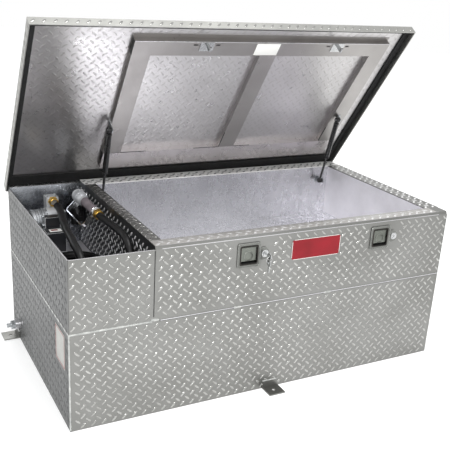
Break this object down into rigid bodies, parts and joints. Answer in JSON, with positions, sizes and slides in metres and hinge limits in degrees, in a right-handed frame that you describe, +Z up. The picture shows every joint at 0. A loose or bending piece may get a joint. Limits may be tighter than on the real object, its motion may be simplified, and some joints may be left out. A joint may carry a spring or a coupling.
{
  "type": "truck bed transfer tank",
  "caption": "Diamond tread aluminium fuel tank with a lidded toolbox on top and a side bay for pump, hose and nozzle; lid on gas struts.",
  "frame": {"origin": "centre of the tank's base", "axes": "+X along the front to the right, +Y to the back, +Z up; the lid is open at rest"},
  "size_m": [1.648, 0.913, 1.2853],
  "materials": {
    "tread_aluminium": "bright diamond tread plate",
    "smooth_aluminium": "mill finish sheet",
    "cast_aluminium": "die cast, satin",
    "polished_steel": "polished stainless",
    "zinc_steel": "zinc plated",
    "brass": "turned, satin",
    "rubber": "matt",
    "black_paint": "satin",
    "black_plastic": "satin",
    "badge_red": "gloss"
  },
  "bodies": {
    "tank": {"tank_floor": "tread_aluminium", "left_end_plate": "tread_aluminium", "right_end_plate": "tread_aluminium", "tank_front_plate": "tread_aluminium", "back_plate": "tread_aluminium", "tank_deck": "smooth_aluminium", "tank_baffles": "smooth_aluminium", "compartment_front_plate": "tread_aluminium", "toolbox_front": "tread_aluminium", "partition": "tread_aluminium", "tub_pan": "smooth_aluminium", "tub_end_walls": "smooth_aluminium", "rear_rim": "tread_aluminium", "right_rim": "tread_aluminium", "mounting_tabs": "tread_aluminium", "drain_bung": "smooth_aluminium", "drain_plug": "zinc_steel", "badge_plate": "badge_red", "latch_bezels": "polished_steel", "latch_cases": "zinc_steel", "hinge_box_leaf": "zinc_steel", "hinge_pin": "zinc_steel", "strut_box_brackets": "zinc_steel", "filler_neck": "smooth_aluminium", "pump_bung": "smooth_aluminium", "pump_body": "cast_aluminium", "pump_motor": "cast_aluminium", "pump_fitting": "brass", "suction_tube": "zinc_steel", "nozzle_holder": "black_plastic", "nozzle_body": "cast_aluminium", "nozzle_spout": "polished_steel", "nozzle_guard": "polished_steel", "nozzle_swivel": "brass", "hose_pump_run": "rubber", "hose_nozzle_run": "rubber", "hose_hank": "rubber"},
    "lid": {"lid_pan": "tread_aluminium", "lid_front_rail": "smooth_aluminium", "lid_rear_rail": "smooth_aluminium", "lid_cross_rails": "smooth_aluminium", "lid_gasket": "rubber", "strikers": "zinc_steel", "hinge_lid_leaf": "zinc_steel", "strut_lid_brackets": "zinc_steel"},
    "strut_left_upper": {"strut_left_cylinder": "black_paint"},
    "strut_left_lower": {"strut_left_rod": "zinc_steel"},
    "strut_right_upper": {"strut_right_cylinder": "black_paint"},
    "strut_right_lower": {"strut_right_rod": "zinc_steel"},
    "left_paddle": {"left_paddle": "polished_steel"},
    "right_paddle": {"right_paddle": "polished_steel"},
    "left_claw": {"left_claw": "zinc_steel"},
    "right_claw": {"right_claw": "zinc_steel"},
    "left_lock": {"left_lock": "polished_steel", "left_key": "polished_steel"},
    "right_lock": {"right_lock": "polished_steel"},
    "spare_key": {"spare_key": "polished_steel"},
    "nozzle_lever": {"nozzle_lever": "black_plastic"},
    "pump_lever": {"pump_lever": "polished_steel"},
    "filler_cap": {"filler_cap": "black_plastic"}
  },
  "joints": [
    {"name": "lid_hinge", "type": "hinge", "parent": "tank", "child": "lid", "pos_m": [0, 0.4104, 0.5912], "axis": [1, 0, 0], "range_deg": [0, 54.5]},
    {"name": "strut_left_swing", "type": "hinge", "parent": "lid", "child": "strut_left_upper", "pos_m": [-0.4167, 0.21186, 0.8623], "axis": [1, 0, 0], "range_deg": [0, 14.2]},
    {"name": "strut_left_slide", "type": "slide", "parent": "strut_left_upper", "child": "strut_left_lower", "axis": [0, 0.2783, -0.9605], "range_m": [-0.0871, 0]},
    {"name": "strut_right_swing", "type": "hinge", "parent": "lid", "child": "strut_right_upper", "pos_m": [0.635, 0.21186, 0.8623], "axis": [1, 0, 0], "range_deg": [0, 14.2]},
    {"name": "strut_right_slide", "type": "slide", "parent": "strut_right_upper", "child": "strut_right_lower", "axis": [0, 0.2783, -0.9605], "range_m": [-0.0871, 0]},
    {"name": "left_paddle_pull", "type": "hinge", "parent": "tank", "child": "left_paddle", "pos_m": [-0.13, -0.4034, 0.574], "axis": [-1, 0, 0], "range_deg": [0, 35], "stiffness_Nm_per_rad": 0.4, "springref_deg": -11.46},
    {"name": "left_claw_turn", "type": "hinge", "parent": "tank", "child": "left_claw", "pos_m": [-0.113, -0.3444, 0.5688], "axis": [0, -1, 0], "range_deg": [0, 60]},
    {"name": "left_lock_turn", "type": "hinge", "parent": "tank", "child": "left_lock", "pos_m": [-0.067, -0.4064, 0.548], "axis": [0, -1, 0], "range_deg": [0, 90]},
    {"name": "right_paddle_pull", "type": "hinge", "parent": "tank", "child": "right_paddle", "pos_m": [0.436, -0.4034, 0.574], "axis": [-1, 0, 0], "range_deg": [0, 35], "stiffness_Nm_per_rad": 0.4, "springref_deg": -11.46},
    {"name": "right_claw_turn", "type": "hinge", "parent": "tank", "child": "right_claw", "pos_m": [0.453, -0.3444, 0.5688], "axis": [0, -1, 0], "range_deg": [0, 60]},
    {"name": "right_lock_turn", "type": "hinge", "parent": "tank", "child": "right_lock", "pos_m": [0.499, -0.4064, 0.548], "axis": [0, -1, 0], "range_deg": [0, 90]},
    {"name": "spare_key_swing", "type": "hinge", "parent": "left_lock", "child": "spare_key", "pos_m": [-0.067, -0.4404, 0.548], "axis": [1, 0, 0], "range_deg": [-20, 20]},
    {"name": "nozzle_squeeze", "type": "hinge", "parent": "tank", "child": "nozzle_lever", "pos_m": [-0.53534, 0.2606, 0.56227], "axis": [-0.7071, 0, 0.7071], "range_deg": [0, 15], "stiffness_Nm_per_rad": 1, "springref_deg": -17.19},
    {"name": "pump_switch", "type": "hinge", "parent": "tank", "child": "pump_lever", "pos_m": [-0.685, 0.1636, 0.526], "axis": [1, 0, 0], "range_deg": [0, 60]},
    {"name": "filler_cap_turn", "type": "hinge", "parent": "tank", "child": "filler_cap", "pos_m": [-0.597, -0.3144, 0.3896], "axis": [0, 0, 1], "range_deg": [0, 90]}
  ],
  "couplings": [
    {"joint": "strut_left_swing", "follows": "lid_hinge", "ratio": 0.24273},
    {"joint": "strut_left_slide", "follows": "lid_hinge", "m_per_rad": -0.090556},
    {"joint": "strut_right_swing", "follows": "lid_hinge", "ratio": 0.24273},
    {"joint": "strut_right_slide", "follows": "lid_hinge", "m_per_rad": -0.090556}
  ]
}
